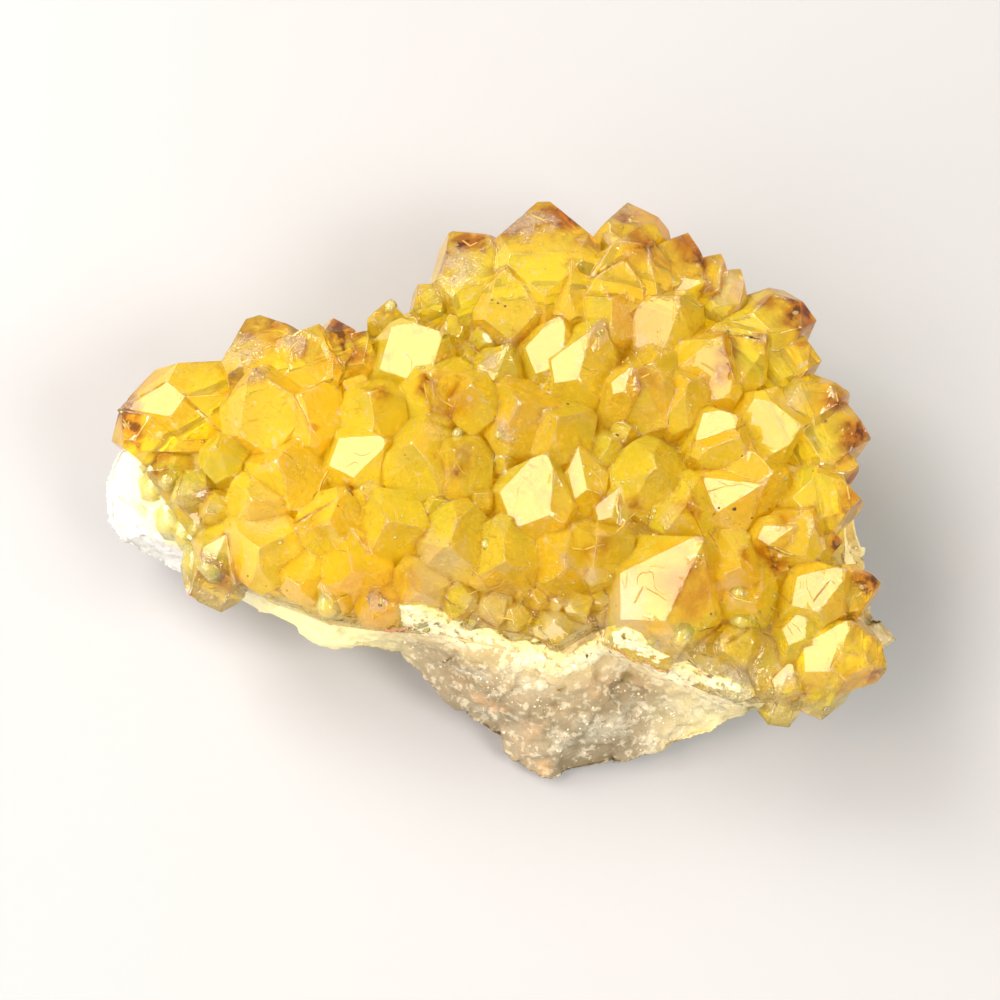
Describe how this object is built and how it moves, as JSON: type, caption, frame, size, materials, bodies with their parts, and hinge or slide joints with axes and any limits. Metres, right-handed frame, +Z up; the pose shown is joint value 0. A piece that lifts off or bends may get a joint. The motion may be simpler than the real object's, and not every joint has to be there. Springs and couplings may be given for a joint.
{
  "type": "citrine crystal cluster",
  "caption": "Crust of intergrown yellow citrine points on a low mound of rough white quartz, a mineral specimen that rests on a flat underside.",
  "frame": {"origin": "middle of the flat underside that the quartz matrix rests on", "axes": "+X along the specimen's length, +Y towards the lobe with the largest outward-leaning points, -Y the side where the crust is broken away and the matrix shows, +Z up away from the surface it rests on"},
  "size_m": [0.0854, 0.06, 0.026],
  "materials": {
    "citrine": "clear to slightly milky golden yellow, amber at some tips",
    "white_quartz": "rough broken surface with glinting grains"
  },
  "bodies": {
    "root": {"citrine_crystals": "citrine", "quartz_matrix": "white_quartz"}
  },
  "joints": []
}
